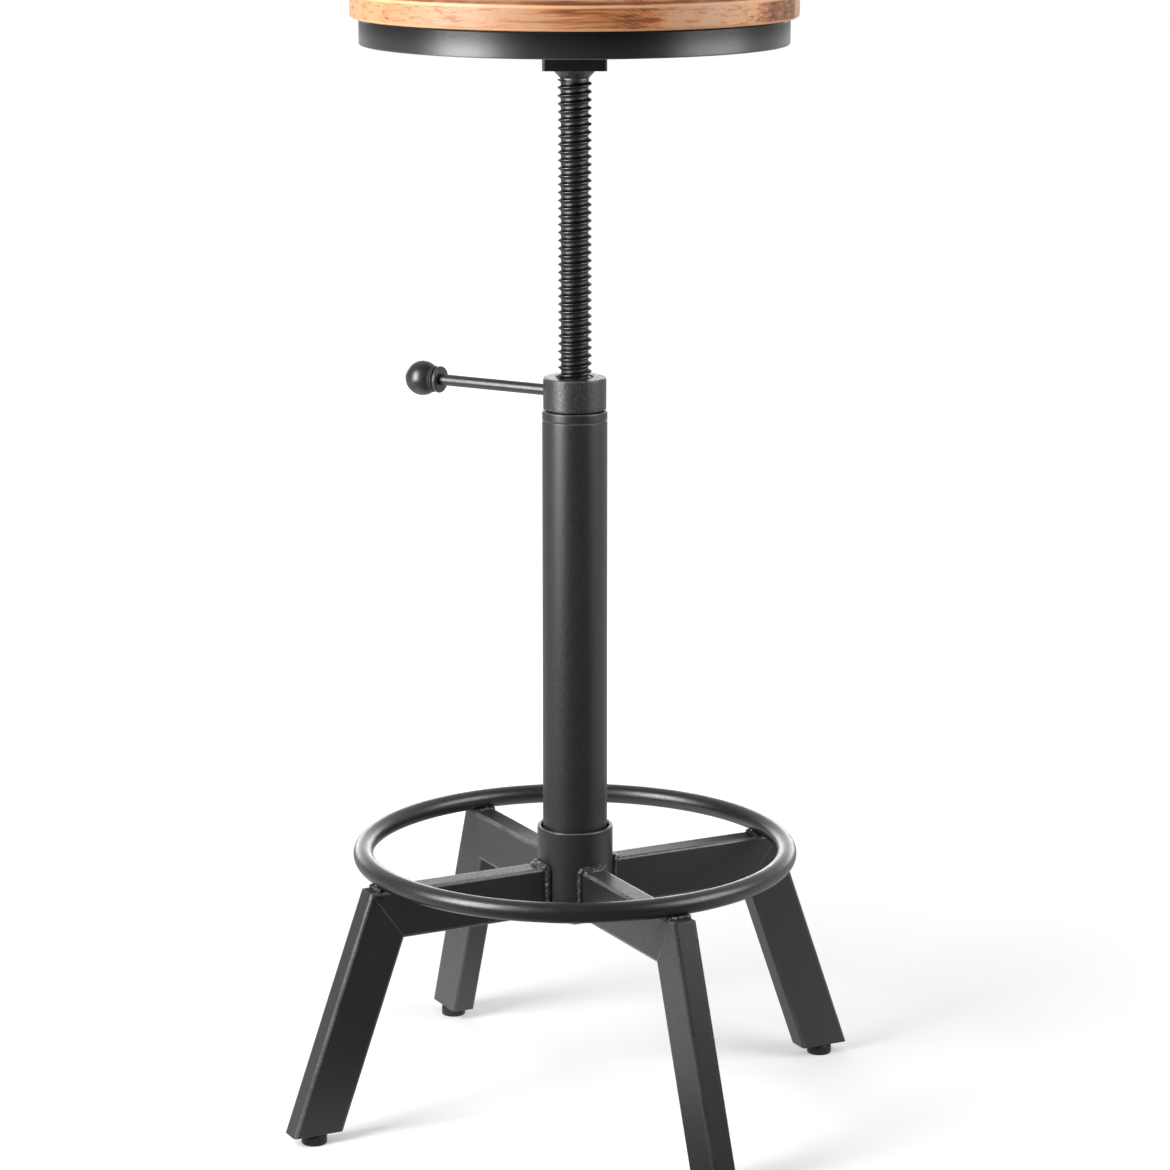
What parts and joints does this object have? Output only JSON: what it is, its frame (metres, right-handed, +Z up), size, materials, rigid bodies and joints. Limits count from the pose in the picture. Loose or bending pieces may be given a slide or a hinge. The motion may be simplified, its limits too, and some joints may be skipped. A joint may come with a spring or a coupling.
{
  "type": "bar stool",
  "caption": "Height-adjustable bar stool: round wooden seat on a lead screw, post with a locking collar and ball lever, raked legs, round foot ring, levelling feet.",
  "frame": {"origin": "on the floor, on the axis of the post", "axes": "+Z up along the post; the legs lie along +X, +Y, -X and -Y; the picture looks from between -X and -Y"},
  "size_m": [0.4466, 0.4466, 0.793],
  "materials": {
    "light_board": "clear satin varnish over pine",
    "dark_board": "clear satin varnish over pine",
    "frame_coat": "fine-textured charcoal powder coat",
    "weld_coat": "powder coat over rough weld",
    "pan_coat": "smooth charcoal powder coat",
    "collar_coat": "grainy charcoal powder coat",
    "lever_coat": "smooth charcoal coat",
    "screw_steel": "blackened, lightly oiled thread",
    "zinc_steel": "zinc plated",
    "bare_steel": "turned steel",
    "guide_nylon": "natural nylon",
    "foot_plastic": "moulded black plastic"
  },
  "bodies": {
    "base": {"column_nut": "frame_coat", "column_tube": "frame_coat", "column_plug": "bare_steel", "base_sleeve": "frame_coat", "base_plate": "frame_coat", "base_washer": "zinc_steel", "base_bolt": "zinc_steel", "arm_right": "frame_coat", "arm_back": "frame_coat", "arm_left": "frame_coat", "arm_front": "frame_coat", "leg_right": "frame_coat", "leg_back": "frame_coat", "leg_left": "frame_coat", "leg_front": "frame_coat", "leg_end_right": "frame_coat", "leg_end_back": "frame_coat", "leg_end_left": "frame_coat", "leg_end_front": "frame_coat", "foot_ring": "frame_coat", "ring_pads": "weld_coat", "arm_welds": "weld_coat"},
    "guide": {"screw_guide": "guide_nylon"},
    "seat": {"board_front": "light_board", "board_front_mid": "dark_board", "board_middle": "light_board", "board_back_mid": "dark_board", "board_back": "light_board", "seat_plate": "pan_coat", "seat_rim": "pan_coat", "seat_screws": "zinc_steel", "seat_block": "pan_coat", "block_plate": "pan_coat", "neck_weld_bead": "weld_coat", "lead_screw": "screw_steel", "shoulder_bolt": "zinc_steel", "guide_washer": "zinc_steel"},
    "collar_washer": {"lock_washer": "bare_steel"},
    "collar": {"lock_collar": "collar_coat", "lock_lever": "lever_coat", "ball_knob": "lever_coat"},
    "foot_right": {"foot_right": "foot_plastic"},
    "stud_right": {"foot_stud_right": "zinc_steel"},
    "foot_back": {"foot_back": "foot_plastic"},
    "stud_back": {"foot_stud_back": "zinc_steel"},
    "foot_left": {"foot_left": "foot_plastic"},
    "stud_left": {"foot_stud_left": "zinc_steel"},
    "foot_front": {"foot_front": "foot_plastic"},
    "stud_front": {"foot_stud_front": "zinc_steel"}
  },
  "joints": [
    {"name": "seat_rise", "type": "slide", "parent": "base", "child": "guide", "axis": [0, 0, 1], "range_m": [-0.2035, 0.011]},
    {"name": "seat_turn", "type": "hinge", "parent": "guide", "child": "seat", "pos_m": [0, 0, 0.44], "axis": [0, 0, 1], "range_deg": [-13320, 720]},
    {"name": "collar_rise", "type": "slide", "parent": "base", "child": "collar_washer", "axis": [0, 0, 1], "range_m": [-0.00032, 0.00248]},
    {"name": "collar_turn", "type": "hinge", "parent": "collar_washer", "child": "collar", "pos_m": [0, 0, 0.5145], "axis": [0, 0, 1], "range_deg": [-20, 160]},
    {"name": "foot_right_drop", "type": "slide", "parent": "base", "child": "foot_right", "axis": [0, 0, 1], "range_m": [-0.0075, 0]},
    {"name": "foot_right_turn", "type": "hinge", "parent": "foot_right", "child": "stud_right", "pos_m": [0.20474, 0, 0.006], "axis": [0, 0, 1], "range_deg": [-2160.01, 0.01]},
    {"name": "foot_back_drop", "type": "slide", "parent": "base", "child": "foot_back", "axis": [0, 0, 1], "range_m": [-0.0075, 0]},
    {"name": "foot_back_turn", "type": "hinge", "parent": "foot_back", "child": "stud_back", "pos_m": [0, 0.20474, 0.006], "axis": [0, 0, 1], "range_deg": [-2160.01, 0.01]},
    {"name": "foot_left_drop", "type": "slide", "parent": "base", "child": "foot_left", "axis": [0, 0, 1], "range_m": [-0.0075, 0]},
    {"name": "foot_left_turn", "type": "hinge", "parent": "foot_left", "child": "stud_left", "pos_m": [-0.20474, 0, 0.006], "axis": [0, 0, 1], "range_deg": [-2160.01, 0.01]},
    {"name": "foot_front_drop", "type": "slide", "parent": "base", "child": "foot_front", "axis": [0, 0, 1], "range_m": [-0.0075, 0]},
    {"name": "foot_front_turn", "type": "hinge", "parent": "foot_front", "child": "stud_front", "pos_m": [0, -0.20474, 0.006], "axis": [0, 0, 1], "range_deg": [-2160.01, 0.01]}
  ],
  "couplings": [
    {"joint": "seat_rise", "follows": "seat_turn", "m_per_rad": 0.00087535},
    {"joint": "collar_rise", "follows": "collar_turn", "m_per_rad": 0.00087535},
    {"joint": "foot_right_turn", "follows": "foot_right_drop", "rad_per_m": 5026.5},
    {"joint": "foot_back_turn", "follows": "foot_back_drop", "rad_per_m": 5026.5},
    {"joint": "foot_left_turn", "follows": "foot_left_drop", "rad_per_m": 5026.5},
    {"joint": "foot_front_turn", "follows": "foot_front_drop", "rad_per_m": 5026.5}
  ]
}
